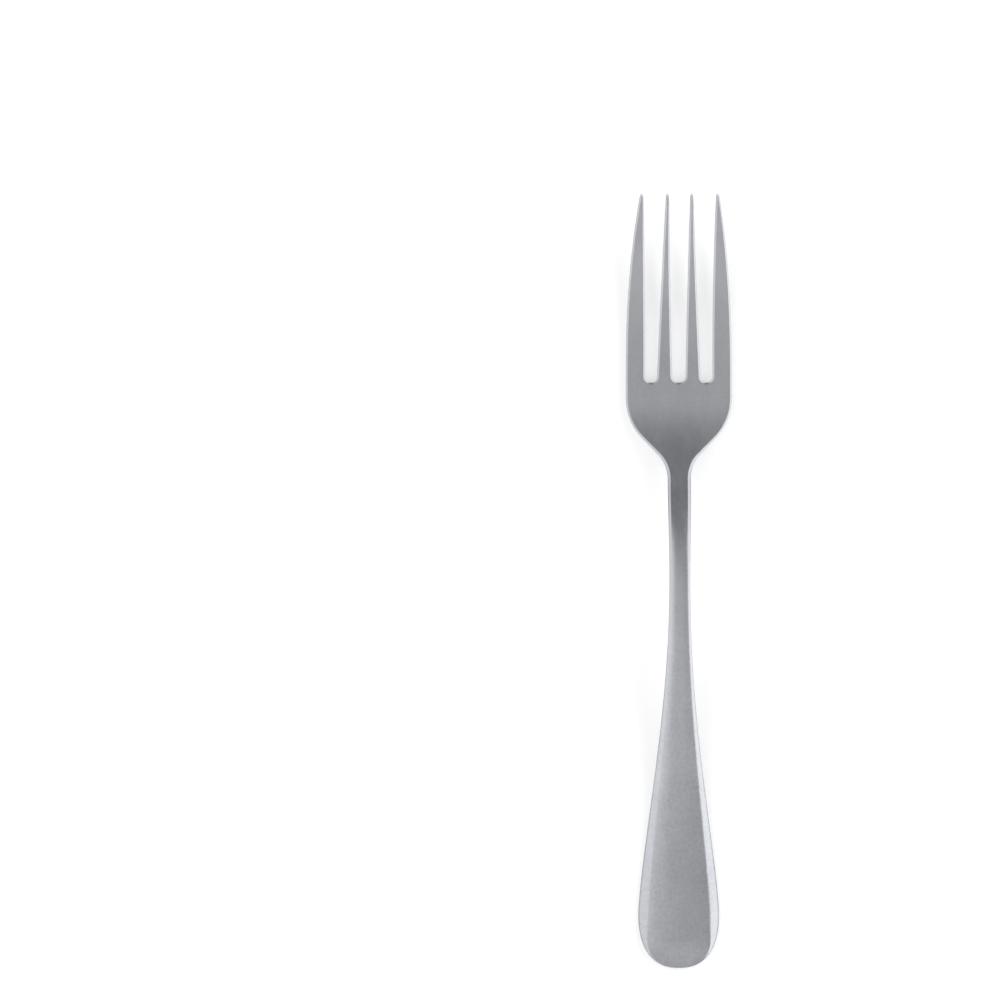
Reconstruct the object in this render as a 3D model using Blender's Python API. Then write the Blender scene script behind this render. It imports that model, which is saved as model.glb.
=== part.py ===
"""Four-tined dinner fork in satin stainless steel, lying on its back with the tines curving up.

Metres, +Z up. +Y runs from the end of the handle to the tips, z = 0 is the table, and the origin is under the
middle of the fork. Distances called "along" are measured in plan from the end of the handle.

The fork is one blank of steel. It is divided on plane cross-sections into handle, neck, head and tines, which
meet face to face.
"""

import math

import bmesh
import bpy

# Lengths along the fork
HANDLE_LENGTH = 0.102  # rounded end to the start of the neck
NECK_LENGTH = 0.0265  # slim stem, up to the foot of the shoulders
PALM_LENGTH = 0.0042  # shoulders to the bottoms of the slots
TINE_LENGTH = 0.0492  # bottoms of the slots to the tips

# Handle and neck in plan
HANDLE_WIDTH = 0.0213
BROADEST_AT = 0.0145  # from the end of the handle
END_FULLNESS = 2.4  # 2 would be an ellipse, more is squarer
TAPER_START = 1.35  # how late the side leaves the broadest width
TAPER_END = 2.15  # how softly it runs into the neck
NECK_WIDTH = 0.0055
NECK_FLARE = 0.0003  # by which each side has spread at the foot of the shoulders

# Head in plan: shoulders, then tines and slots from the middle outwards
SHOULDER_ANGLE = math.radians(43.5)  # between the shoulder's straight flank and the fork's length
SHOULDER_FILLET = 0.009
SHOULDER_CORNER = 0.015
CENTRE_SLOT = 0.00355
INNER_TINE = 0.0039
OUTER_SLOT = 0.00317
OUTER_TINE = 0.00505
CENTRE_TIP_GAP = 0.00553
OUTER_TIP_GAP = 0.00593
TIP_WIDTH = 0.0008
INNER_BOW = 1.0  # 1 is a straight-sided taper
OUTER_BOW = 2.3  # more keeps the tine broad for longer

# Thickness, measured upright
HANDLE_THICKNESS = 0.0022
NECK_THICKNESS = 0.0038
HEAD_THICKNESS = 0.0024
TIP_THICKNESS = 0.0013

# Underside seen from the side: flat heel, arched neck, flat palm, rising tines
END_LIFT = 0.0006
HEEL_START = 0.006  # where the flat heel begins, from the end of the handle
HEEL_LENGTH = 0.016
CREST_HEIGHT = 0.0125
CREST_ALONG_NECK = 0.002  # from the start of the neck
CREST_RADIUS = 0.05  # of the arch's bend at its crest
TIP_RISE = 0.0125
TIP_SLOPE = math.radians(27)  # of the tines at their tips

# Rolled edges, and the crown of the face over handle and neck
END_RIM = 0.0008  # at the very end of the handle
HANDLE_RIM = 0.002
NECK_RIM = 0.0013
HEAD_RIM = 0.0011
HANDLE_TILT = math.radians(9)  # of the crowned face where it meets a rolled edge
NECK_TILT = math.radians(15)
TIP_ROUND = 0.0009
RIM_SHARE = 0.48  # most of a narrow section's width that one rolled edge may take

# Facets
RIM_STEPS = 8
FACE_STEPS = 6
ROUND_RINGS = 6
END_RINGS = 9
HANDLE_RINGS = 26
CREST_RINGS = 5
STEM_RINGS = 8
SHOULDER_RINGS = 18
PALM_RINGS = 3
TINE_RINGS = 14
SLOT_STEPS = 14
CUT_MARGIN = 0.002
SMOOTH_ANGLE = math.radians(50)

STEEL_COLOUR = (0.56, 0.565, 0.58, 1.0)
STEEL_ROUGHNESS = 0.26

# Places that follow from the sizes above
HALF_NECK = NECK_WIDTH / 2
HALF_FOOT = HALF_NECK + NECK_FLARE
HALF_HEAD = CENTRE_SLOT / 2 + INNER_TINE + OUTER_SLOT + OUTER_TINE
FILLET_RUN = SHOULDER_FILLET * math.sin(SHOULDER_ANGLE)
FILLET_RISE = SHOULDER_FILLET * (1 - math.cos(SHOULDER_ANGLE))
CORNER_RUN = SHOULDER_CORNER * math.sin(SHOULDER_ANGLE)
CORNER_RISE = SHOULDER_CORNER * (1 - math.cos(SHOULDER_ANGLE))
FLANK_RISE = HALF_HEAD - HALF_FOOT - FILLET_RISE - CORNER_RISE
FLANK_RUN = FLANK_RISE / math.tan(SHOULDER_ANGLE)
NECK_START = HANDLE_LENGTH
SHOULDER_START = NECK_START + NECK_LENGTH
SHOULDER_END = SHOULDER_START + FILLET_RUN + FLANK_RUN + CORNER_RUN
SLOT_BOTTOM = SHOULDER_END + PALM_LENGTH
TINE_START = SLOT_BOTTOM + max(CENTRE_SLOT, OUTER_SLOT) / 2
LENGTH = SLOT_BOTTOM + TINE_LENGTH
HEEL_END = HEEL_START + HEEL_LENGTH
CREST = NECK_START + CREST_ALONG_NECK


def ease(start, end, share):
    """A value that leaves start and reaches end with no slope and no bend at either."""
    share = min(max(share, 0.0), 1.0)
    return start + (end - start) * share**3 * (10 - 15 * share + 6 * share**2)


def between(low, high, steps):
    """Evenly spaced values from low to high, both included."""
    return [low + (high - low) * i / steps for i in range(steps + 1)]


def roundness(distance, length):
    """Half-round falling off of an edge: 0 at the edge, 1 from length inwards."""
    return math.sqrt(1 - max(1 - distance / length, 0.0) ** 2)


def handle_half_width(along):
    """Superellipse round the end, then a long hollow taper to the neck."""
    if along < BROADEST_AT:
        share = 1 - along / BROADEST_AT
        return HANDLE_WIDTH / 2 * (1 - share**END_FULLNESS) ** (1 / END_FULLNESS)
    share = min((along - BROADEST_AT) / (NECK_START - BROADEST_AT), 1.0)
    return HALF_NECK + (HANDLE_WIDTH / 2 - HALF_NECK) * (1 - share**TAPER_START) ** TAPER_END


def neck_half_width(along):
    """Slim stem that spreads a little on its way to the shoulders."""
    return ease(HALF_NECK, HALF_FOOT, (along - NECK_START) / NECK_LENGTH)


def shoulder_half_width(along):
    """Hollow arc out of the neck, straight flank, then a round corner into the head's side."""
    out = along - SHOULDER_START
    if out < FILLET_RUN:
        return HALF_FOOT + SHOULDER_FILLET - math.sqrt(SHOULDER_FILLET**2 - max(out, 0.0) ** 2)
    if out < FILLET_RUN + FLANK_RUN:
        return HALF_FOOT + FILLET_RISE + (out - FILLET_RUN) * math.tan(SHOULDER_ANGLE)
    left = max(SHOULDER_END - along, 0.0)
    return HALF_HEAD - SHOULDER_CORNER + math.sqrt(SHOULDER_CORNER**2 - left**2)


def end_lift(along):
    """Rise of the back towards the end of the handle."""
    return ease(END_LIFT, 0.0, along / HEEL_START)


def thickness(along):
    """Thin handle, thick neck, thinner head, thinnest at the tips; the end's lift thins it from below."""
    if along < HEEL_START:
        return HANDLE_THICKNESS - end_lift(along)
    if along < NECK_START:
        return ease(HANDLE_THICKNESS, NECK_THICKNESS, (along - HEEL_END) / (NECK_START - HEEL_END))
    if along < TINE_START:
        run = SHOULDER_END - SHOULDER_START
        return ease(NECK_THICKNESS, HEAD_THICKNESS, (along - SHOULDER_START) / run)
    return ease(HEAD_THICKNESS, TIP_THICKNESS, (along - TINE_START) / (LENGTH - TINE_START))


def climb(share, run):
    """Height on the way up to the crest: level at the foot, bent to the crest's radius at the top."""
    share = min(max(share, 0.0), 1.0)
    return ease(0.0, CREST_HEIGHT, share) - run**2 / CREST_RADIUS * share**3 * (1 - share) ** 2 / 2


def tine_rise(share, run):
    """Height of a tine above the palm: level at its root, straight at the tip's slope at its end."""
    slope = math.tan(TIP_SLOPE)
    return ease(0.0, TIP_RISE, share) - slope * run * share**3 * (1 - share) * (4 - 3 * share)


def underside(along):
    """Height of the back above the table."""
    if along < HEEL_START:
        return end_lift(along)
    if along < CREST:
        run = CREST - HEEL_END
        return climb((along - HEEL_END) / run, run)
    if along < TINE_START:
        run = SHOULDER_END - CREST
        return climb((SHOULDER_END - along) / run, run)
    run = LENGTH - TINE_START
    return tine_rise((along - TINE_START) / run, run)


def rim_width(along):
    """Width of the rolled edge on each side."""
    if along < BROADEST_AT:
        return ease(END_RIM, HANDLE_RIM, along / BROADEST_AT)
    if along < NECK_START:
        return ease(HANDLE_RIM, NECK_RIM, (along - BROADEST_AT) / (NECK_START - BROADEST_AT))
    return ease(NECK_RIM, HEAD_RIM, (along - SHOULDER_START) / (SHOULDER_END - SHOULDER_START))


def face_tilt(along):
    """Slope of the crowned face at the rolled edge: level at the handle's end and from the shoulders on."""
    if along < BROADEST_AT:
        angle = ease(0.0, HANDLE_TILT, along / BROADEST_AT)
    elif along < NECK_START:
        angle = ease(HANDLE_TILT, NECK_TILT, (along - BROADEST_AT) / (NECK_START - BROADEST_AT))
    else:
        angle = ease(NECK_TILT, 0.0, (along - CREST) / (SHOULDER_START - CREST))
    return math.tan(angle)


def section(along, left, right, thin=1.0):
    """Closed loop of points across the fork: flat back, rolled edges and a softly crowned face.

    thin brings the back and the face together towards the section's middle, for a rounded end.
    """
    half = (right - left) / 2
    middle = (right + left) / 2
    rim = min(rim_width(along), RIM_SHARE * 2 * half)
    flat = half - rim
    tall = thickness(along) / 2
    centre = underside(along) + tall
    tilt = face_tilt(along)
    turns = between(-math.pi / 2, math.atan2(tall, tilt * rim), RIM_STEPS)
    tall *= thin
    loop = [(middle + flat + rim * math.cos(a), centre + tall * math.sin(a)) for a in turns]
    face = flat + rim * math.cos(turns[-1])
    top = centre + tall * math.sin(turns[-1])
    for share in between(1.0, -1.0, FACE_STEPS)[1:-1]:
        loop.append((middle + face * share, top + thin * tilt * face / 2 * (1 - share * share)))
    loop += [(middle - flat - rim * math.cos(a), centre + tall * math.sin(a)) for a in reversed(turns)]
    return [(x, along, z) for x, z in loop]


def steel():
    """Satin stainless steel."""
    material = bpy.data.materials.new("satin_steel")
    material.use_nodes = True
    shader = material.node_tree.nodes["Principled BSDF"]
    shader.inputs["Base Color"].default_value = STEEL_COLOUR
    shader.inputs["Metallic"].default_value = 1.0
    shader.inputs["Roughness"].default_value = STEEL_ROUGHNESS
    return material


def add_object(name, bm, start, parent):
    """Put a mesh drawn in distances along the fork into the scene, its origin where the piece starts."""
    bmesh.ops.translate(bm, vec=(0, -start, 0), verts=bm.verts)
    bmesh.ops.recalc_face_normals(bm, faces=bm.faces)
    mesh = bpy.data.meshes.new(name)
    bm.to_mesh(mesh)
    bm.free()
    made = bpy.data.objects.new(name, mesh)
    made.location = (0, start - LENGTH / 2, 0)
    made.parent = parent
    bpy.context.scene.collection.objects.link(made)
    return made


def loft(name, loops, parent, material):
    """A closed solid through loops that all have the same number of points."""
    bm = bmesh.new()
    rings = []
    for loop in loops:
        points = [bm.verts.new(point) for point in loop]
        rings.append([bm.edges.new((points[i - 1], points[i])) for i in range(len(points))])
    for ring, after in zip(rings, rings[1:]):
        bmesh.ops.bridge_loops(bm, edges=ring + after)
    for ring in (rings[0], rings[-1]):
        bmesh.ops.contextual_create(bm, geom=ring)
    made = add_object(name, bm, loops[0][0][1], parent)
    made.data.materials.append(material)
    made.data.shade_smooth()
    made.data.set_sharp_from_angle(angle=SMOOTH_ANGLE)
    return made


def make_handle(parent, material):
    """Broad round end with a rolled edge all round it, tapering to the neck."""
    turns = between(0.0, math.pi / 2, ROUND_RINGS)[1:]
    places = [END_RIM * (1 - math.cos(a)) for a in turns]
    places += [END_RIM + (BROADEST_AT - END_RIM) * share**2 for share in between(0.0, 1.0, END_RINGS)[1:]]
    places += between(BROADEST_AT, NECK_START, HANDLE_RINGS)[1:]
    loops = []
    for along in places:
        half = handle_half_width(along)
        loops.append(section(along, -half, half, roundness(along, END_RIM)))
    loft("handle", loops, parent, material)


def make_neck(parent, material):
    """Slim stem over the crest of the arch and down towards the shoulders."""
    places = between(NECK_START, CREST, CREST_RINGS)
    places += between(CREST, SHOULDER_START, STEM_RINGS)[1:]
    loops = []
    for along in places:
        half = neck_half_width(along)
        loops.append(section(along, -half, half))
    loft("neck", loops, parent, material)


def slot_cutter(name, middle, width, parent):
    """Upright tool that leaves a slot with a round bottom."""
    radius = width / 2
    top = HEAD_THICKNESS + CUT_MARGIN
    bm = bmesh.new()
    outline = []
    for a in between(math.pi, 2 * math.pi, SLOT_STEPS):
        outline.append((middle + radius * math.cos(a), SLOT_BOTTOM + radius + radius * math.sin(a)))
    outline.append((middle + radius, TINE_START + CUT_MARGIN))
    outline.append((middle - radius, TINE_START + CUT_MARGIN))
    face = bm.faces.new([bm.verts.new((x, y, -CUT_MARGIN)) for x, y in outline])
    raised = bmesh.ops.extrude_face_region(bm, geom=[face])["geom"]
    raised = [item for item in raised if isinstance(item, bmesh.types.BMVert)]
    bmesh.ops.translate(bm, vec=(0, 0, top + CUT_MARGIN), verts=raised)
    cutter = add_object(name, bm, SLOT_BOTTOM, parent)
    cutter.hide_render = True
    cutter.display_type = "WIRE"
    return cutter


def make_head(parent, material):
    """Shoulders and palm, with the bottoms of the three slots cut into its front edge."""
    places = between(SHOULDER_START, SHOULDER_END, SHOULDER_RINGS)
    places += between(SHOULDER_END, TINE_START, PALM_RINGS)[1:]
    loops = []
    for along in places:
        half = shoulder_half_width(along)
        loops.append(section(along, -half, half))
    head = loft("head", loops, parent, material)
    off_centre = CENTRE_SLOT / 2 + INNER_TINE + OUTER_SLOT / 2
    slots = {
        "left_slot": (-off_centre, OUTER_SLOT),
        "centre_slot": (0.0, CENTRE_SLOT),
        "right_slot": (off_centre, OUTER_SLOT),
    }
    for name, (middle, width) in slots.items():
        cut = head.modifiers.new(name, "BOOLEAN")
        cut.operation = "DIFFERENCE"
        cut.solver = "EXACT"
        cut.object = slot_cutter(f"{name}_cutter", middle, width, parent)


def make_tine(name, side, root, tip, bow, parent, material):
    """A tine between two edges that run from root to tip, each a pair of distances from the middle line."""
    turns = between(0.0, math.pi / 2, ROUND_RINGS)[1:]
    places = between(TINE_START, LENGTH - TIP_ROUND, TINE_RINGS)
    places += [LENGTH - TIP_ROUND * (1 - math.cos(a)) for a in reversed(turns[:-1])]
    loops = []
    for along in places:
        share = ((along - TINE_START) / (LENGTH - TINE_START)) ** bow
        near, far = (a + (b - a) * share for a, b in zip(root, tip))
        thin = roundness(LENGTH - along, TIP_ROUND)
        middle = side * (near + far) / 2
        half = thin * (far - near) / 2
        loops.append(section(along, middle - half, middle + half, thin))
    loft(name, loops, parent, material)


def make_tines(parent, material):
    """Two straight-sided inner tines and two outer ones that bow in to the tips, mirrored left and right."""
    inner_root = (CENTRE_SLOT / 2, CENTRE_SLOT / 2 + INNER_TINE)
    outer_root = (HALF_HEAD - OUTER_TINE, HALF_HEAD)
    inner_tip = (CENTRE_TIP_GAP / 2, CENTRE_TIP_GAP / 2 + TIP_WIDTH)
    outer_tip = (inner_tip[1] + OUTER_TIP_GAP, inner_tip[1] + OUTER_TIP_GAP + TIP_WIDTH)
    for word, side in (("left", -1), ("right", 1)):
        make_tine(f"inner_tine_{word}", side, inner_root, inner_tip, INNER_BOW, parent, material)
        make_tine(f"outer_tine_{word}", side, outer_root, outer_tip, OUTER_BOW, parent, material)


def main():
    for existing in list(bpy.data.objects):
        bpy.data.objects.remove(existing)
    fork = bpy.data.objects.new("fork", None)
    bpy.context.scene.collection.objects.link(fork)
    material = steel()
    make_handle(fork, material)
    make_neck(fork, material)
    make_head(fork, material)
    make_tines(fork, material)


main()
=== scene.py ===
import math

import bpy
import numpy as np
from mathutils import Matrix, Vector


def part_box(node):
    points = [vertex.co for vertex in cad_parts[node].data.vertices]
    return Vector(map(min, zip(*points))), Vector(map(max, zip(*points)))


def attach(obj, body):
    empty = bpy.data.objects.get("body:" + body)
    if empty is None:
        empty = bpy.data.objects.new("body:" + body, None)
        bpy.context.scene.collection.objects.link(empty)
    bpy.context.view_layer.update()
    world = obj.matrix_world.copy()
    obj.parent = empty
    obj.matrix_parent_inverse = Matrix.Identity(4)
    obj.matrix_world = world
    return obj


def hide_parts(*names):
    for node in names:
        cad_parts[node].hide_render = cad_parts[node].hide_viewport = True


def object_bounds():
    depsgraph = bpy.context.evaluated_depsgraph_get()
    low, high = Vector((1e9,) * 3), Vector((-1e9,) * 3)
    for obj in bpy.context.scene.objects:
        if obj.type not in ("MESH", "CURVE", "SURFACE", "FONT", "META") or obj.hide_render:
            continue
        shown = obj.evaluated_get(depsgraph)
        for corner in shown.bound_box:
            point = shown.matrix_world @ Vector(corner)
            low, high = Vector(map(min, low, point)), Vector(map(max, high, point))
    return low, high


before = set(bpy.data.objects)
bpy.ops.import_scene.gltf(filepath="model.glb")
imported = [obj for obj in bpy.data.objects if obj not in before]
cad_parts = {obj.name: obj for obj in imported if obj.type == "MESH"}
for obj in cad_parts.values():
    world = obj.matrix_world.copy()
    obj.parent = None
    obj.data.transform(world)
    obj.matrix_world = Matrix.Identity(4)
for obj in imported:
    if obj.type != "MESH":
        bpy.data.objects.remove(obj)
cadLow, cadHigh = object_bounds()
print("frame loaded with", len(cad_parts), "nodes")


def reach(node, axis):
    # a node's lowest and highest place on one axis
    low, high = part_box(node)
    return low[axis], high[axis]


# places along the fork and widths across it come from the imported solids
handleEnd, neckStart = reach("handle", 1)
shoulderStart = reach("head", 1)[0]
tineStart, tipEnd = reach("inner_tine_right", 1)
handleHalf = reach("handle", 0)[1]
footHalf = reach("neck", 0)[1]  # of the shoulders, where the neck has spread
headHalf = reach("head", 0)[1]
innerRoot = reach("inner_tine_right", 0)
outerRoot = reach("outer_tine_right", 0)
crestTop = reach("neck", 2)[1]

# sizes are in metres, unless a note says otherwise
handle = {
    "broadestAt": 0.0145,  # from the end
    "endFullness": 2.4,  # 2 is an ellipse, more is squarer
    "taperStart": 1.35,  # powers of the taper, where it leaves the broad end
    "taperEnd": 2.15,  # and where it runs out into the neck
    "thick": 0.0022,
    "endRim": 0.0003,  # rolled edge at the very end, across and down
    "rimBack": 0.0013,
    "faceTilt": 9,  # degrees, of the crowned face where it meets the roll
    "crownPower": 2.0,  # 2 is a parabola, more is flatter in the middle
    "endLevel": 0.008,  # stretch over which the crown fades out towards the end
    "endLift": 0.0006,
    "heelStart": 0.006,
    "heelLength": 0.016,
}

neck = {
    "flare": 0.0003,  # spread of each side from start to end
    "thick": 0.0038,
    "rimBack": 0.0019,
    "faceTilt": 15,
    "crownPower": 2.6,
    "crestAlong": 0.002,  # from where the neck starts
    "crestRadius": 0.05,
}

head = {
    "shoulderAngle": math.radians(43.5),
    "shoulderFillet": 0.009,
    "shoulderCorner": 0.015,
    "thick": 0.0024,
    "rim": 0.0005,  # width of the rolled edge, on face and back alike
    "rimFall": 0.00023,
}

edgeRoll = {
    "width": 0.27,  # of half the breadth, on handle and neck
    "fall": 0.121,  # of half the breadth, from the face down to the widest line
    "fullness": 1.3,  # 2 is an ellipse, less starts with a brisk break
}

tines = {
    "centreTipGap": 0.00553,
    "outerTipGap": 0.00593,
    "tipWidth": 0.0008,
    "tipThick": 0.0013,
    "tipRound": 0.0009,
    "tipRise": 0.0125,
    "tipSlope": math.tan(math.radians(27)),
    "innerBow": 1.0,  # 1 is a straight taper
    "outerBow": 2.3,
    "rimShare": 0.48,  # most of a slim tine's width that one rolled edge takes
}

mesh = {
    "faceColumns": 12,  # across each of the four strips that end in a tine
    "backSteps": 8,  # up the edge from the back to the widest line
    "faceSteps": 18,  # and from there up to the face
    "endRows": 56,
    "handleRows": 150,
    "neckRows": 48,
    "shoulderRows": 84,
    "slotRows": 20,
    "tineRows": 110,
    "tipRows": 12,
    "nudge": 1e-6,  # step to either side for a slope
    "least": 1e-9,  # keeps a width above nothing
    "weld": 2e-7,  # points in one cell of this size become one
    "weldShift": 0.3137,  # of a cell, so that no cell ends on the middle line
}

# shares of a piece's UV square, from u and v to u and v
layout = {
    "skin": (0.004, 0.004, 0.996, 0.955),
    "caps": (0.02, 0.965, 0.98, 0.996),
    "capFill": 0.9,  # of the cell that each cap has there
    "palm": (0.004, 0.004, 0.996, 0.66),
    "stub": (0.004, 0.675, 0.244, 0.955),
    "stubStep": 0.25,
}

neckHalf = footHalf - neck["flare"]
broadest = handleEnd + handle["broadestAt"]
heelStart = handleEnd + handle["heelStart"]
heelEnd = heelStart + handle["heelLength"]
crest = neckStart + neck["crestAlong"]
filletRun = head["shoulderFillet"] * math.sin(head["shoulderAngle"])
cornerRun = head["shoulderCorner"] * math.sin(head["shoulderAngle"])
filletRise = head["shoulderFillet"] * (1 - math.cos(head["shoulderAngle"]))
cornerRise = head["shoulderCorner"] * (1 - math.cos(head["shoulderAngle"]))
flankRun = (headHalf - footHalf - filletRise - cornerRise) / math.tan(head["shoulderAngle"])
shoulderEnd = shoulderStart + filletRun + flankRun + cornerRun
centreSlot = 2 * innerRoot[0]
outerSlot = outerRoot[0] - innerRoot[1]
slotBottom = tineStart - max(centreSlot, outerSlot) / 2
slotMiddle = (outerRoot[0] + innerRoot[1]) / 2
mergeRow = slotBottom - head["rim"]  # last row across the whole palm
rollPower = 2 / edgeRoll["fullness"]


def ease(share):
    # 10 t^3 - 15 t^4 + 6 t^5: from 0 to 1 with no slope and no bend at either end
    t = np.clip(share, 0, 1)
    return t**3 * (10 - 15 * t + 6 * t**2)


def stations(y, *points):
    # first value, plus each following rise eased in between its two places
    value = points[0][1] + np.zeros_like(y)
    for (here, low), (there, high) in zip(points, points[1:]):
        value = value + (high - low) * ease((y - here) / (there - here))
    return value


def toHead(y, before, after):
    # a size that turns into the head's own over the shoulders
    return before + (after - before) * ease((y - shoulderStart) / (shoulderEnd - shoulderStart))


def fromEnd(y, size):
    # a roll's size, drawn in to a small round at the very end
    grown = ease((y - handleEnd) / (broadest - handleEnd))
    return handle["endRim"] + (size - handle["endRim"]) * grown


def thickness(y):
    # the end is thinned by its lift, so that the face runs on level
    return stations(
        y,
        (handleEnd, handle["thick"] - handle["endLift"]),
        (heelStart, handle["thick"]),
        (heelEnd, handle["thick"]),
        (neckStart, neck["thick"]),
        (shoulderStart, neck["thick"]),
        (shoulderEnd, head["thick"]),
        (tineStart, head["thick"]),
        (tipEnd, tines["tipThick"]),
    )


def climb(share, run):
    # eased rise to the crest, less run^2 / radius * t^3 (1 - t)^2 / 2,
    # which bends the top to the crest's radius
    t = np.clip(share, 0, 1)
    return crestHeight * ease(t) - run**2 / neck["crestRadius"] * t**3 * (1 - t) ** 2 / 2


def underside(y):
    # lifted end, flat heel, arch up to the crest and down to the palm, then tines that leave
    # the palm level and end straight: eased rise less slope * run * t^3 (1 - t)(4 - 3 t)
    lift = handle["endLift"] * (1 - ease((y - handleEnd) / (heelStart - handleEnd)))
    up = climb((y - heelEnd) / (crest - heelEnd), crest - heelEnd)
    down = climb((shoulderEnd - y) / (shoulderEnd - crest), shoulderEnd - crest)
    run = tipEnd - tineStart
    t = np.clip((y - tineStart) / run, 0, 1)
    rise = tines["tipRise"] * ease(t) - tines["tipSlope"] * run * t**3 * (1 - t) * (4 - 3 * t)
    return lift + np.where(y < crest, up, down) + rise


def bodyHalf(y):
    # handle's taper (1 - q^a)^b down to the neck, plus the neck's eased flare,
    # plus the shoulder's hollow arc, straight flank and round corner
    q = np.clip((y - broadest) / (neckStart - broadest), 0, 1)
    taper = (handleHalf - neckHalf) * (1 - q ** handle["taperStart"]) ** handle["taperEnd"]
    flare = neck["flare"] * ease((y - neckStart) / (shoulderStart - neckStart))
    out = np.clip(y - shoulderStart, 0, filletRun)
    hollow = head["shoulderFillet"] - np.sqrt(head["shoulderFillet"] ** 2 - out**2)
    flank = np.clip(y - shoulderStart - filletRun, 0, flankRun) * math.tan(head["shoulderAngle"])
    left = np.clip(shoulderEnd - y, 0, cornerRun)
    corner = np.sqrt(head["shoulderCorner"] ** 2 - left**2) - head["shoulderCorner"] + cornerRise
    return neckHalf + taper + flare + hollow + flank + corner


def rollWidth(y):
    # how far in from the outline the roll meets the face: a share of the breadth up to the shoulders
    breadth = bodyHalf(np.minimum(y, shoulderStart))
    return fromEnd(y, toHead(y, edgeRoll["width"] * breadth, head["rim"]))


def rollFall(y):
    # drop from the face to the widest line: a share of the breadth up to the shoulders
    breadth = bodyHalf(np.minimum(y, shoulderStart))
    return fromEnd(y, toHead(y, edgeRoll["fall"] * breadth, head["rimFall"]))


def backWidth(y):
    # how far in the rounded edge meets the back
    return stations(
        y,
        (broadest, handle["rimBack"]),
        (neckStart, neck["rimBack"]),
        (shoulderStart, neck["rimBack"]),
        (shoulderEnd, head["rim"]),
    )


def edgeLine(y):
    # height of the widest line of a section
    return underside(y) + thickness(y) - rollFall(y)


def faceTilt(y):
    # slope of the crowned face at the roll: level at the end, and again from the shoulders on
    angle = stations(
        y,
        (handleEnd, 0.0),
        (handleEnd + handle["endLevel"], handle["faceTilt"]),
        (broadest, handle["faceTilt"]),
        (neckStart, neck["faceTilt"]),
        (crest, neck["faceTilt"]),
        (shoulderStart, 0.0),
    )
    return np.tan(np.radians(angle))


def rollStart(tilt, width, tall):
    # angle on the superellipse at which its slope, tall / width * cot^(2 - 2/n), equals the face's tilt
    n = edgeRoll["fullness"]
    return np.pi / 2 - np.arctan((tilt * width / tall) ** (n / (2 * n - 2)))


def archHeight():
    # top of the neck, less what its crowned section takes at the crest: the part below
    # the widest line, the roll above it, and the crown tilt * half / p
    tilt = np.tan(np.radians(neck["faceTilt"]))
    wide = edgeRoll["width"] * neckHalf
    fall = edgeRoll["fall"] * neckHalf
    turn = rollStart(tilt, wide, fall)
    faceHalf = neckHalf - wide * (1 - np.cos(turn) ** rollPower)
    crownRise = tilt * faceHalf / neck["crownPower"]
    return crestTop - (neck["thick"] - fall) - fall * np.sin(turn) ** rollPower - crownRise


crestHeight = archHeight()


def rolledEdge(edge, inward, tilt, widest=1.0, thin=1.0):
    # carried along a plan outline: a quarter ellipse from the back up to the edge line, then a
    # quarter superellipse |1 - d/w|^n + |z/h|^n = 1 from there up to where it meets the face
    y = edge[:, 1:2]
    thin = np.reshape(thin, (-1, 1))
    widest = np.reshape(widest, (-1, 1))
    back = np.minimum(backWidth(y), widest)
    face = np.minimum(rollWidth(y), widest)
    start = rollStart(tilt.reshape(-1, 1), face, rollFall(y))
    under = np.linspace(-np.pi / 2, 0, mesh["backSteps"] + 1)[None, :-1]
    over = np.linspace(0, 1, mesh["faceSteps"] + 1)[None, :] * start
    inset = np.hstack([
        back * (1 - np.cos(under)),
        face * (1 - np.cos(over) ** rollPower),
    ])
    plan = edge[:, None, :] + inset[:, :, None] * inward[:, None, :]
    above = rollFall(plan[..., 1]) * thin
    below = thickness(plan[..., 1]) * thin - above
    height = edgeLine(plan[..., 1])
    backCount = mesh["backSteps"]
    height[:, :backCount] += below[:, :backCount] * np.sin(under)
    height[:, backCount:] += above[:, backCount:] * np.sin(over) ** rollPower
    return np.dstack([plan, height])


def acrossFace(left, right, shares):
    # straight rows between two edge points
    return left[:, None, :] + (right - left)[:, None, :] * shares[None, :, None]


def crown(face, half):
    # across each row: tilt * half / p * (1 - |x / half|^p)
    half = np.maximum(half, mesh["least"])[:, None]
    p = stations(face[..., 1], (broadest, handle["crownPower"]), (neckStart, neck["crownPower"]))
    return faceTilt(face[..., 1]) * half / p * (1 - np.abs(face[..., 0] / half) ** p)


def strip(leftRim, rightRim, shares, crowned=False):
    # closed loop of columns: back left to right, up the right roll, face right to left,
    # down the left roll
    back = acrossFace(leftRim[:, 0], rightRim[:, 0], shares)
    face = acrossFace(leftRim[:, -1], rightRim[:, -1], shares)
    if crowned:
        face[..., 2] += crown(face, rightRim[:, -1, 0])
    return np.hstack([back, rightRim[:, 1:-1], face[:, ::-1], leftRim[:, -2::-1]])


def edgeMask(shares):
    # 1 on the edge line, 0 where the roll meets back and face, in the order of a strip's columns
    flat = np.zeros(len(shares))
    rising = np.linspace(0, 1, mesh["backSteps"] + 1)[:-1]
    falling = np.linspace(1, 0, mesh["faceSteps"] + 1)
    up = np.hstack([rising, falling])
    return np.hstack([flat, up[1:-1], flat, up[-2::-1]])


grids = []


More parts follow.
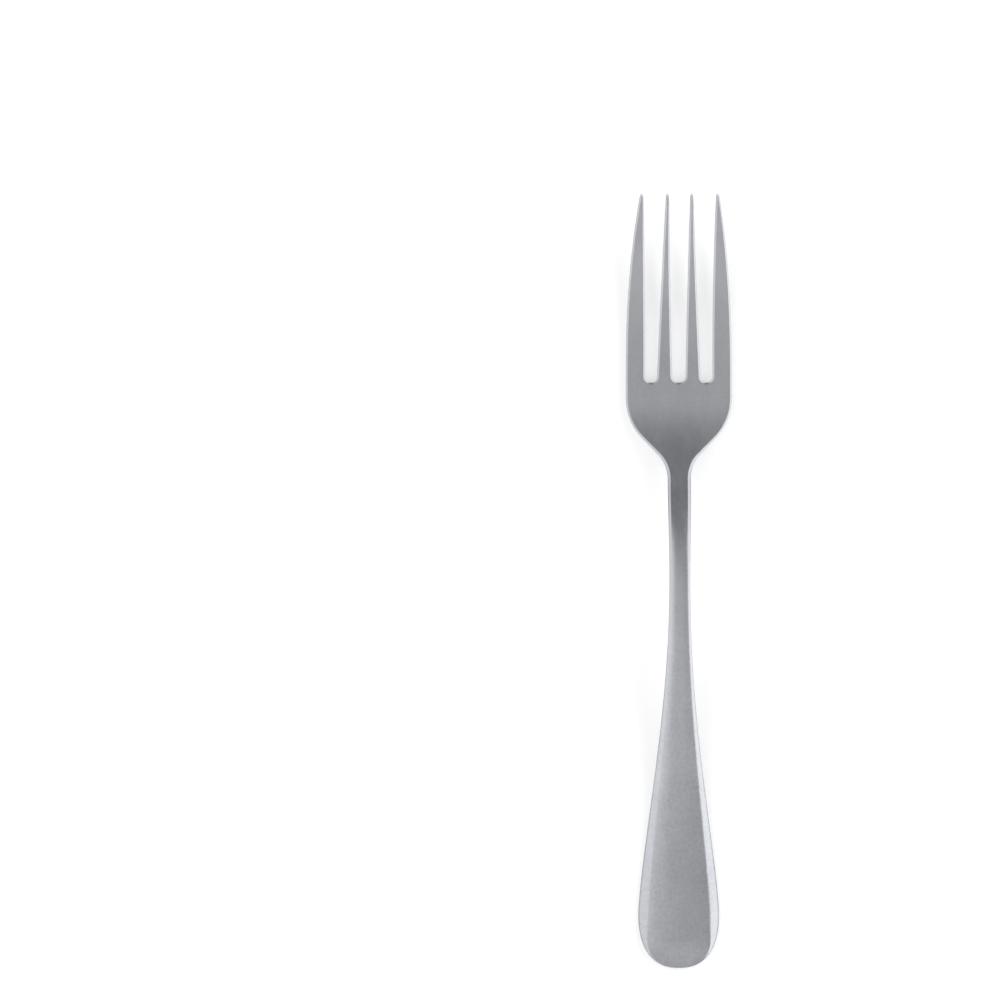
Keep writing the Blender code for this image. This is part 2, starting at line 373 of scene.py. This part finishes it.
def addGrid(piece, points, mask, box):
    # box is the grid's share of the piece's UV square: u runs round the loop, v along the fork
    steps = np.linalg.norm(np.diff(points, axis=1), axis=2).max(axis=0)
    around = np.hstack([0, np.cumsum(steps)]) / steps.sum()
    steps = np.linalg.norm(np.diff(points, axis=0), axis=2)
    steps = (steps.mean(axis=1) + steps.max(axis=1)) / 2
    length = np.hstack([0, np.cumsum(steps)]) / steps.sum()
    u0, v0, u1, v1 = box
    uv = np.dstack(np.meshgrid(u0 + (u1 - u0) * around, v0 + (v1 - v0) * length))
    wear = np.broadcast_to(mask, points.shape[:2])
    grids.append({"piece": piece, "points": points, "uv": uv, "wear": wear})


# body outline on the right: superellipse round the end, then the sides up to where the slots begin
endTurn = np.linspace(np.pi / 2, 0, mesh["endRows"] + 1)
endPower = 2 / handle["endFullness"]
endPlan = np.column_stack([
    handleHalf * np.cos(endTurn) ** endPower,
    broadest - handle["broadestAt"] * np.sin(endTurn) ** endPower,
])
endPlan[0, 0] = 0.0
sideY = np.hstack([
    np.linspace(broadest, neckStart, mesh["handleRows"] + 1)[1:],
    np.linspace(neckStart, shoulderStart, mesh["neckRows"] + 1)[1:],
    np.linspace(shoulderStart, mergeRow, mesh["shoulderRows"] + 1)[1:],
])
outline = np.vstack([endPlan, np.column_stack([bodyHalf(sideY), sideY])])

# outward direction: the superellipse's own gradient round the end, the side's slope after it
lean = handle["endFullness"] - 1
endOut = np.column_stack([
    (endPlan[:, 0] / handleHalf) ** lean / handleHalf,
    ((broadest - endPlan[:, 1]) / handle["broadestAt"]) ** lean / handle["broadestAt"] * -1,
])
nudge = mesh["nudge"]
slope = (bodyHalf(sideY + nudge) - bodyHalf(sideY - nudge)) / (2 * nudge)
sideOut = np.column_stack([np.ones_like(slope), -slope])
outward = np.vstack([endOut, sideOut])
outward /= np.linalg.norm(outward, axis=1, keepdims=True)
bodyTilt = faceTilt(outline[:, 1]) * outward[:, 0]

mirror = np.array([-1.0, 1.0])
rightRim = rolledEdge(outline, -outward, bodyTilt)
leftRim = rolledEdge(outline * mirror, -outward * mirror, bodyTilt)

# columns gather in four strips, so that they run on into the tines
slotShare = slotMiddle / rightRim[-1, -1, 0]
stripEdges = np.array([-1, -slotShare, 0, slotShare, 1])
within = np.linspace(0, 1, mesh["faceColumns"] + 1)
shares = np.hstack([a + (b - a) * within[:-1] for a, b in zip(stripEdges, stripEdges[1:])] + [1.0])
shares = (shares + 1) / 2
body = strip(leftRim, rightRim, shares, crowned=True)
bodyMask = edgeMask(shares)

handleRow = mesh["endRows"] + mesh["handleRows"]
neckRow = handleRow + mesh["neckRows"]
addGrid("handle", body[: handleRow + 1], bodyMask, layout["skin"])
addGrid("neck", body[handleRow : neckRow + 1], bodyMask, layout["skin"])
addGrid("head", body[neckRow:], bodyMask, layout["palm"])
print("body surface:", body.shape[0], "rows of", body.shape[1])


def slotWall(middle, width, side):
    # quarter round from the slot's bottom up to its straight wall, and on to where the tines start
    radius = width / 2
    straight = tineStart - slotBottom - radius
    run = np.linspace(radius * np.pi / 2 + straight, 0, mesh["slotRows"] + 1)
    angle = np.clip((run - straight) / radius, 0, np.pi / 2)
    x = middle + side * radius * np.cos(angle)
    y = tineStart - np.minimum(run, straight) - radius * np.sin(angle)
    inward = np.column_stack([side * np.cos(angle), -np.sin(angle)])
    return np.column_stack([x, y]), inward


def headSide(side):
    # straight outer side beside the slots, its rows level with the slot's round
    turn = np.sin(np.linspace(np.pi / 2, 0, mesh["slotRows"] + 1))
    y = tineStart - (tineStart - mergeRow) * turn
    inward = np.column_stack([-side * np.ones_like(y), np.zeros_like(y)])
    return np.column_stack([side * bodyHalf(y), y]), inward


def tineSide(root, tip, bow, side, into):
    # plan edge from root to tip: x = root + (tip - root) * t^bow
    turn = np.linspace(np.pi / 2, 0, mesh["tipRows"] + 1)[1:]
    y = np.hstack([
        np.linspace(tineStart, tipEnd - tines["tipRound"], mesh["tineRows"] + 1),
        tipEnd - tines["tipRound"] * (1 - np.cos(turn)),
    ])
    t = (y - tineStart) / (tipEnd - tineStart)
    x = side * (root + (tip - root) * t**bow)
    inward = np.column_stack([into * np.ones_like(y), np.zeros_like(y)])
    return np.column_stack([x, y]), inward


def addTine(name, place, side, root, tip, bow, walls):
    # the stub beside the slots belongs to the head, and the tine goes on from it to the tip
    (leftPlan, leftIn), (rightPlan, rightIn) = walls
    level = np.zeros(len(leftPlan))
    stub = strip(rolledEdge(leftPlan, leftIn, level), rolledEdge(rightPlan, rightIn, level), within)
    mask = edgeMask(within)
    u0, v0, u1, v1 = layout["stub"]
    aside = layout["stubStep"] * place
    addGrid("head", stub, mask, (u0 + aside, v0, u1 + aside, v1))
    near, far = (0, 1) if side > 0 else (1, 0)
    leftPlan, leftIn = tineSide(root[near], tip[near], bow, side, 1)
    rightPlan, rightIn = tineSide(root[far], tip[far], bow, side, -1)
    # the tip is a half ellipse in plan and in thickness
    left = np.clip((tipEnd - leftPlan[:, 1]) / tines["tipRound"], 0, 1)
    thin = np.sqrt(1 - (1 - left) ** 2)
    middle = (leftPlan + rightPlan) / 2
    leftPlan = middle + (leftPlan - middle) * thin[:, None]
    rightPlan = middle + (rightPlan - middle) * thin[:, None]
    widest = tines["rimShare"] * (rightPlan - leftPlan)[:, 0] + mesh["least"]
    level = np.zeros(len(leftPlan))
    leftRoll = rolledEdge(leftPlan, leftIn, level, widest, thin)
    rightRoll = rolledEdge(rightPlan, rightIn, level, widest, thin)
    tine = strip(leftRoll, rightRoll, within)
    tine[-1] = tine[-1].mean(axis=0)
    addGrid(name, tine, mask, layout["skin"])


innerTip = (tines["centreTipGap"] / 2, tines["centreTipGap"] / 2 + tines["tipWidth"])
outerNear = innerTip[1] + tines["outerTipGap"]
outerTip = (outerNear, outerNear + tines["tipWidth"])
addTine(
    "outer_tine_left", 0, -1, outerRoot, outerTip, tines["outerBow"],
    (headSide(-1), slotWall(-slotMiddle, outerSlot, -1)),
)
addTine(
    "inner_tine_left", 1, -1, innerRoot, innerTip, tines["innerBow"],
    (slotWall(-slotMiddle, outerSlot, 1), slotWall(0.0, centreSlot, -1)),
)
addTine(
    "inner_tine_right", 2, 1, innerRoot, innerTip, tines["innerBow"],
    (slotWall(0.0, centreSlot, 1), slotWall(slotMiddle, outerSlot, -1)),
)
addTine(
    "outer_tine_right", 3, 1, outerRoot, outerTip, tines["outerBow"],
    (slotWall(slotMiddle, outerSlot, 1), headSide(1)),
)
print("tines and slots:", len(grids), "grids")


def cornersOf(shape, first):
    # four corner numbers of every cell of a grid, turned so that faces look outwards
    ids = first + np.arange(shape[0] * shape[1]).reshape(shape)
    corners = [ids[:-1, :-1], ids[1:, :-1], ids[1:, 1:], ids[:-1, 1:]]
    return np.stack(corners, axis=-1).reshape(-1, 4)


# all grids become one skin: points that share a place share a number
points = np.vstack([g["points"].reshape(-1, 3) for g in grids])
uvs = np.vstack([g["uv"].reshape(-1, 2) for g in grids])
wear = np.hstack([g["wear"].reshape(-1) for g in grids])
keys = np.floor(points / mesh["weld"] + mesh["weldShift"]).astype(np.int64)
_, firstOf, number = np.unique(keys, axis=0, return_index=True, return_inverse=True)
number = number.reshape(-1)
skin = points[firstOf]
skinWear = wear[firstOf]
starts = np.cumsum([0] + [g["points"].shape[0] * g["points"].shape[1] for g in grids])
for g, first in zip(grids, starts):
    g["first"] = first
    g["corners"] = cornersOf(g["points"].shape[:2], first)


def splitCells(corners):
    # whole cells stay four-sided, a cell with one side of no length becomes a triangle,
    # and the rest are dropped
    ids = number[corners]
    same = ids == np.roll(ids, -1, axis=1)
    count = same.sum(axis=1)
    fours = corners[count == 0]
    slim = corners[count == 1]
    skip = same[count == 1].argmax(axis=1)
    keep = (skip[:, None] + np.array([1, 2, 3])) % 4
    return fours, np.take_along_axis(slim, keep, axis=1)


def sidesOf(faces):
    # each corner of a face with the next one round, the lower number first
    ids = number[faces]
    pairs = np.stack([ids, np.roll(ids, -1, axis=1)], axis=-1)
    return np.sort(pairs.reshape(-1, 2), axis=1)


def fillMesh(name, places, faces):
    made = bpy.data.meshes.new(name)
    made.from_pydata(places.tolist(), [], faces)
    made.update()
    return made


# normals are taken from the whole skin, so that no seam shows where two pieces meet
fours, threes = splitCells(np.vstack([g["corners"] for g in grids]))
whole = fillMesh("whole", skin, number[fours].tolist() + number[threes].tolist())
normals = np.empty(len(skin) * 3)
whole.vertex_normals.foreach_get("vector", normals)
normals = normals.reshape(-1, 3)
bpy.data.meshes.remove(whole)
uses = np.unique(np.vstack([sidesOf(fours), sidesOf(threes)]), axis=0, return_counts=True)[1]
print("whole skin:", len(skin), "points,", int((uses != 2).sum()), "open edges")


def ringOf(grid, row):
    # numbers of the points round one row, without the one that closes it
    ids = grid["first"] + np.arange(grid["points"].shape[0] * grid["points"].shape[1])
    return ids.reshape(grid["points"].shape[:2])[row, :-1]


def capUv(ring, cell, count):
    # flat view of a cut section, in its own cell of the strip above the skin
    flat = points[ring][:, [0, 2]]
    flat = (flat - flat.min(axis=0)) / np.ptp(flat, axis=0).max()
    u0, v0, u1, v1 = layout["caps"]
    u = u0 + (u1 - u0) / count * (cell + layout["capFill"] * flat[:, 0])
    return np.column_stack([u, v0 + (v1 - v0) * flat[:, 1]])


class Wire:
    # one socket of a node tree, so that node maths reads as plain sums
    def __init__(self, tree, socket=None):
        self.tree = tree
        self.socket = socket

    def node(self, kind, settings=None, sockets=None, out=0):
        made = self.tree.nodes.new("ShaderNode" + kind)
        for name, value in (settings or {}).items():
            setattr(made, name, value)
        for name, value in (sockets or {}).items():
            if isinstance(value, Wire):
                self.tree.links.new(value.socket, made.inputs[name])
            else:
                made.inputs[name].default_value = value
        return Wire(self.tree, made.outputs[out] if made.outputs else None)

    def maths(self, operation, first, second):
        return self.node("Math", {"operation": operation}, {0: first, 1: second})

    def __add__(self, other):
        return self.maths("ADD", self, other)

    def __radd__(self, other):
        return self.maths("ADD", other, self)

    def __sub__(self, other):
        return self.maths("SUBTRACT", self, other)

    def __rsub__(self, other):
        return self.maths("SUBTRACT", other, self)

    def __mul__(self, other):
        return self.maths("MULTIPLY", self, other)

    def __rmul__(self, other):
        return self.maths("MULTIPLY", other, self)

    def __abs__(self):
        return self.maths("ABSOLUTE", self, 0.0)

    def ramp(self, low, high, shape="SMOOTHSTEP"):
        # 0 at low, 1 at high
        ends = {"Value": self, "From Min": low, "From Max": high}
        return self.node("MapRange", {"interpolation_type": shape}, ends)


steel = {
    "pale": (0.612, 0.627, 0.661, 1),
    "deep": (0.317, 0.325, 0.342, 1),
    # patterns of noise: cycles in a millimetre across, along and up, then octaves of detail
    "fine": ((5.0, 0.4, 5.0), 2.0),
    "broad": ((0.9, 0.07, 0.9), 3.0),
    "satin": ((2.4, 1.7, 2.4), 2.0),
    "mottle": ((1.1, 0.9, 1.1), 2.0),
    "cloud": ((0.16, 0.08, 0.16), 4.0),
    "wave": ((0.17, 0.1, 0.17), 1.0),
    "nicks": ((3.2, 1.6, 3.2), 1.0),
    "hairline": ((2.2, 0.05, 2.2), 1.0),
    "octaveShare": 0.55,  # of each octave in the next
    "wornFrom": -60.0,  # millimetres along the fork: the end of the handle is the most worn
    "wornTo": 10.0,
    "wornLeast": 0.35,  # of the wear that is left beyond there
    "pitCells": 1.0,  # in a millimetre
    "pitShare": 0.2,  # of the cells hold one
    "pitDeep": 0.05,  # of the cells hold a deep one
    "pitRadius": 0.25,  # of a cell
    "pitFloor": 0.3,  # of that radius
    "pitEdge": (0.2, 0.0),  # of the way up the rolled edge: none, all
    "nickNoise": (0.6, 0.75),  # level of the noise: none, full
    "nickIn": (0.0, 0.06),  # of the way up the rolled edge: none, full
    "nickOut": (0.32, 0.12),
    "hairTurns": (0.12, -0.2),  # radians from the fork's length
    "hairNoise": (0.006, 0.002),  # off the middle of the noise: none, full
    # what each pattern adds: to the tone from deep to pale, to the roughness and to the relief
    "toneBase": 0.88,
    "tone": {
        "cloud": 0.4,
        "broad": 0.06,
        "satin": 0.2,
        "mottle": 0.5,
        "pit": -0.5,
        "nick": -0.35,
        "hair": -0.04,
        "edge": 0.08,
    },
    "roughBase": 0.2,
    "rough": {
        "cloud": 0.12,
        "broad": 0.06,
        "fine": 0.06,
        "mottle": 0.05,
        "pit": 0.25,
        "hair": 0.05,
        "edge": -0.04,
    },
    "reliefDepth": 6e-6,
    "relief": {
        "fine": 0.12,
        "broad": 0.15,
        "satin": 1.3,
        "mottle": 2.4,
        "wave": 7.0,
        "pit": -0.5,
    },
}


def satinSteel():
    material = bpy.data.materials.new("satin_steel_finish")
    material.use_nodes = True
    tree = material.node_tree
    tree.nodes.clear()
    net = Wire(tree)
    place = net.node("TexCoord", out="Object")
    mm = net.node("VectorMath", {"operation": "SCALE"}, {0: place, "Scale": 1000.0})
    edge = net.node("Attribute", {"attribute_name": "edgeWear"}, out="Fac")

    def grain(name, turn=0.0):
        cycles, detail = steel[name]
        turned = net.node("Mapping", {}, {"Vector": mm, "Rotation": (0.0, 0.0, turn), "Scale": cycles})
        noise = {"Vector": turned, "Scale": 1.0, "Detail": detail, "Roughness": steel["octaveShare"]}
        return net.node("TexNoise", {}, noise)

    pattern = {name: grain(name) - 0.5 for name in ("fine", "broad", "satin", "mottle", "cloud", "wave")}
    pattern["edge"] = edge
    along = net.node("SeparateXYZ", {}, {0: mm}, out="Y")
    wornMost = along.ramp(steel["wornTo"], steel["wornFrom"])
    worn = steel["wornLeast"] + (1 - steel["wornLeast"]) * wornMost
    pattern["mottle"] = pattern["mottle"] * worn

    # pits: a share of the cells hold one, each of its own depth, and none on the rolled edge
    cells = {"Vector": mm, "Scale": steel["pitCells"]}
    near = net.node("TexVoronoi", {}, cells, out="Distance")
    shade = net.node("TexVoronoi", {}, cells, out="Color")
    chance = net.node("SeparateColor", {}, {"Color": shade})
    rare = chance.ramp(1 - steel["pitShare"], 1 - steel["pitDeep"], "LINEAR")
    hole = near.ramp(steel["pitRadius"], steel["pitRadius"] * steel["pitFloor"])
    pattern["pit"] = hole * rare * worn * edge.ramp(*steel["pitEdge"])

    # nicks: dark specks where the face breaks into the rolled edge
    breaking = edge.ramp(*steel["nickIn"]) * edge.ramp(*steel["nickOut"])
    pattern["nick"] = grain("nicks").ramp(*steel["nickNoise"]) * breaking

    # hairlines: a thin band of a long stretched noise, at two slight angles
    first, second = [
        abs(grain("hairline", turn) - 0.5).ramp(*steel["hairNoise"]) for turn in steel["hairTurns"]
    ]
    pattern["hair"] = first + second

    def total(weights, base):
        # base, plus each pattern times its weight
        return sum((weight * pattern[name] for name, weight in weights.items()), base)

    tone = total(steel["tone"], steel["toneBase"])
    colour = net.node(
        "Mix",
        {"data_type": "RGBA"},
        {0: tone, 6: steel["deep"], 7: steel["pale"]},
        out=2,
    )
    height = total(steel["relief"], 0.0)
    bump = net.node("Bump", {}, {"Strength": 1.0, "Distance": steel["reliefDepth"], "Height": height})
    shader = net.node("BsdfPrincipled", {}, {
        "Base Color": colour,
        "Metallic": 1.0,
        "Roughness": total(steel["rough"], steel["roughBase"]),
        "Normal": bump,
    })
    net.node("OutputMaterial", {}, {"Surface": shader})
    print("satin steel:", len(tree.nodes), "nodes")
    return material


steelMaterial = satinSteel()


def makePiece(node, caps):
    # the piece's own cells of the skin, closed by a flat cap at each cut; a cap is the grid of
    # the piece, the row of the grid, and 1 where the cut looks back along the fork or -1 ahead
    own = [g for g in grids if g["piece"] == node]
    fours, threes = splitCells(np.vstack([g["corners"] for g in own]))
    rings = [(ringOf(own[grid], row)[::way], way) for grid, row, way in caps]
    faces = [fours, threes] + [ring[None, :] for ring, _ in rings]
    used, local = np.unique(np.hstack([number[f].reshape(-1) for f in faces]), return_inverse=True)
    cuts = np.cumsum([f.size for f in faces])[:-1]
    runs = np.split(local.reshape(-1), cuts)
    local = [run.reshape(f.shape).tolist() for run, f in zip(runs, faces)]
    made = fillMesh(node + "_skin", skin[used], sum(local, []))

    uvParts = [uvs[fours].reshape(-1, 2), uvs[threes].reshape(-1, 2)]
    uvParts += [capUv(ring, i, len(rings)) for i, (ring, _) in enumerate(rings)]
    made.uv_layers.new(name="OFBake").data.foreach_set("uv", np.vstack(uvParts).reshape(-1))

    made.shade_smooth()
    facing = [normals[number[fours]].reshape(-1, 3), normals[number[threes]].reshape(-1, 3)]
    facing += [np.tile([0.0, -way, 0.0], (len(ring), 1)) for ring, way in rings]
    made.normals_split_custom_set(np.vstack(facing).tolist())

    attribute = made.attributes.new("edgeWear", "FLOAT", "POINT")
    attribute.data.foreach_set("value", skinWear[used])
    piece = bpy.data.objects.new(node + "_skin", made)
    bpy.context.scene.collection.objects.link(piece)
    made.materials.append(steelMaterial)
    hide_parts(node)
    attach(piece, "root")
    print(piece.name, len(made.polygons), "faces")


makePiece("handle", [(0, -1, -1)])
makePiece("neck", [(0, 0, 1), (0, -1, -1)])
makePiece("head", [(0, 0, 1)] + [(i, -1, -1) for i in (1, 2, 3, 4)])
for tineName in ("outer_tine_left", "inner_tine_left", "inner_tine_right", "outer_tine_right"):
    makePiece(tineName, [(0, 0, 1)])

table = {
    "size": 40.0,
    "gap": 2e-5,  # below the fork's rests
    "colour": (0.86, 0.86, 0.86, 1),
    "glow": 0.42,
    "farGlow": 0.1,  # added to it well away from the fork
    "farFrom": 0.2,
    "farTo": 1.5,
}


def makeFloor():
    # lit colour, which keeps the shadow, plus a glow that only the camera and reflections see
    corner = np.array([[-1, -1, 0], [1, -1, 0], [1, 1, 0], [-1, 1, 0]]) * table["size"] / 2
    corner[:, 2] = cadLow[2] - table["gap"]
    floor = bpy.data.objects.new("floor", fillMesh("floor", corner, [[0, 1, 2, 3]]))
    bpy.context.scene.collection.objects.link(floor)
    material = bpy.data.materials.new("pale_floor")
    material.use_nodes = True
    material.node_tree.nodes.clear()
    net = Wire(material.node_tree)
    camera, glossy, through = [
        net.node("LightPath", out=f"Is {way} Ray") for way in ("Camera", "Glossy", "Transmission")
    ]
    seen = (camera + glossy + through).ramp(0.0, 1.0)
    place = net.node("TexCoord", out="Object")
    away = net.node("VectorMath", {"operation": "LENGTH"}, {0: place}, out="Value")
    strength = table["glow"] + table["farGlow"] * away.ramp(table["farFrom"], table["farTo"])
    lit = net.node("BsdfDiffuse", {}, {"Color": table["colour"]})
    glow = net.node("Emission", {}, {"Strength": seen * strength})
    net.node("OutputMaterial", {}, {"Surface": net.node("AddShader", {}, {0: lit, 1: glow})})
    floor.data.materials.append(material)


# each pair is where on an axis of direction a change of the light begins and where it is full
room = {
    "overhead": 0.582,
    "left": (-0.06, -0.5),
    "leftLift": 0.43,
    "right": (0.0, 0.35),
    "rightAlong": (0.4, 0.1),
    "rightDrop": 0.095,
    "back": (-0.1, 0.85),
    "backDrop": 0.36,
    "leftKeep": 0.85,  # share of that drop which the left takes away again
    "front": (-0.15, -0.5),
    "frontLift": 0.064,
    "belt": (0.5, 0.26),
    "beltDrop": 0.4,  # share of the light lost low on the walls
    "horizon": (0.08, 0.01),  # white from here down, as the floor is
}


def makeWorld():
    # light by direction: bright on the left, dimmer on the right, at the back and low on the walls
    world = bpy.data.worlds.new("studio")
    bpy.context.scene.world = world
    world.use_nodes = True
    world.node_tree.nodes.clear()
    net = Wire(world.node_tree)
    way = net.node("TexCoord", out="Generated")
    x, y, z = [net.node("SeparateXYZ", {}, {0: way}, out=axis) for axis in "XYZ"]
    left = x.ramp(*room["left"])
    right = x.ramp(*room["right"]) * y.ramp(*room["rightAlong"])
    back = y.ramp(*room["back"], "LINEAR")
    front = y.ramp(*room["front"])
    belt = z.ramp(*room["belt"])
    light = room["overhead"] + room["leftLift"] * left - room["rightDrop"] * right
    light = light + room["frontLift"] * front
    light = light - room["backDrop"] * back * (1 - room["leftKeep"] * left)
    light = light * (1 - room["beltDrop"] * belt)
    camera = net.node("LightPath", out="Is Camera Ray")
    white = net.maths("MAXIMUM", z.ramp(*room["horizon"]), camera)
    strength = light + white * (1 - light)
    shade = net.node("Background", {}, {"Color": (1, 1, 1, 1), "Strength": strength})
    net.node("OutputWorld", {}, {"Surface": shade})


softbox = {
    "place": (0.8, 0.2, 0.62),
    "size": (2.4, 0.9),
    "power": 5.8,
}


def makeSoftbox():
    # on the right, turned to the middle of the fork
    lamp = bpy.data.lights.new("right_softbox", "AREA")
    lamp.shape = "RECTANGLE"
    lamp.size, lamp.size_y = softbox["size"]
    lamp.energy = softbox["power"]
    made = bpy.data.objects.new("right_softbox", lamp)
    made.location = softbox["place"]
    made.rotation_euler = (-made.location).to_track_quat("-Z", "Y").to_euler()
    made.visible_camera = False
    bpy.context.scene.collection.objects.link(made)


view = {
    "frameWide": 0.26194,  # width of table in the picture
    "aimAt": (-0.0469, 0.02146, 0.006),
    "lens": 300.0,  # millimetres, as the sensor
    "sensor": 36.0,
    "farthest": 100.0,
}


def makeCamera():
    # straight down, as high as the lens needs for that width
    camera = bpy.data.cameras.new("camera")
    camera.lens = view["lens"]
    camera.sensor_width = view["sensor"]
    camera.clip_end = view["farthest"]
    made = bpy.data.objects.new("camera", camera)
    x, y, z = view["aimAt"]
    made.location = (x, y, z + view["frameWide"] * view["lens"] / view["sensor"])
    bpy.context.scene.collection.objects.link(made)
    bpy.context.scene.camera = made


makeFloor()
makeWorld()
makeSoftbox()
makeCamera()
bpy.context.scene.view_settings.view_transform = "Standard"
print("studio ready")
